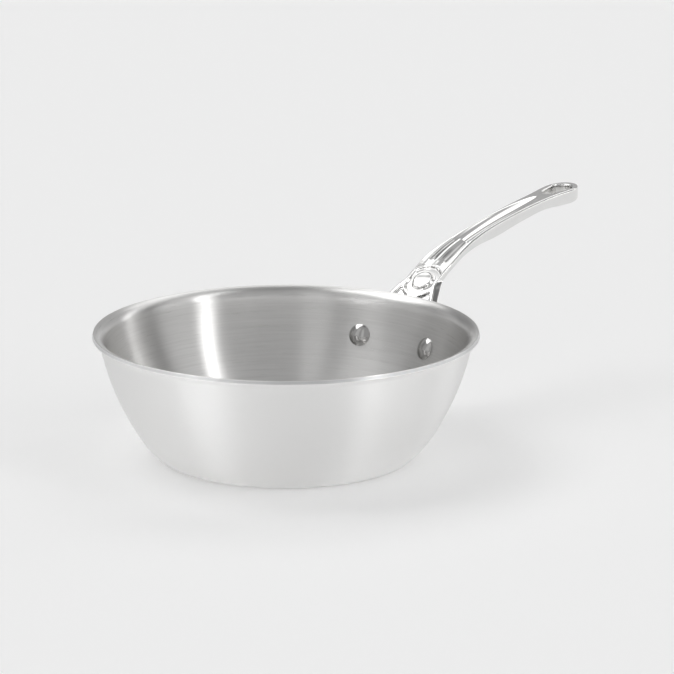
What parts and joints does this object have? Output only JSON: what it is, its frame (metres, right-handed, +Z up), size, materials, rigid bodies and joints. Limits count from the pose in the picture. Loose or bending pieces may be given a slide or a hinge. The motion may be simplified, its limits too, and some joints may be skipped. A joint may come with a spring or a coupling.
{
  "type": "saucier pan",
  "caption": "Clad stainless saucier pan with flared walls, an everted pouring lip and a riveted cast handle ending in a hanging eye.",
  "frame": {"origin": "centre of the flat underside of the bowl, on the bowl's axis", "axes": "+Z up along the bowl's axis, +X from the axis towards the handle's hanging eye, +Y to the left when looking along +X"},
  "size_m": [0.413, 0.24, 0.1237],
  "materials": {
    "outer_skin": "mirror-polished magnetic stainless steel",
    "inner_skin": "stainless steel with fine brushing round the axis",
    "ply_aluminium": "bond layer, bare only as a line at the lip's cut edge",
    "ply_alloy": "core layer, bare only as a line at the lip's cut edge",
    "handle": "polished cast stainless steel",
    "rivet": "polished stainless steel"
  },
  "bodies": {
    "root": {"outer_skin": "outer_skin", "outer_aluminium": "ply_aluminium", "alloy_core": "ply_alloy", "inner_aluminium": "ply_aluminium", "inner_skin": "inner_skin", "handle": "handle", "rivet_left": "rivet", "rivet_right": "rivet"}
  },
  "joints": []
}
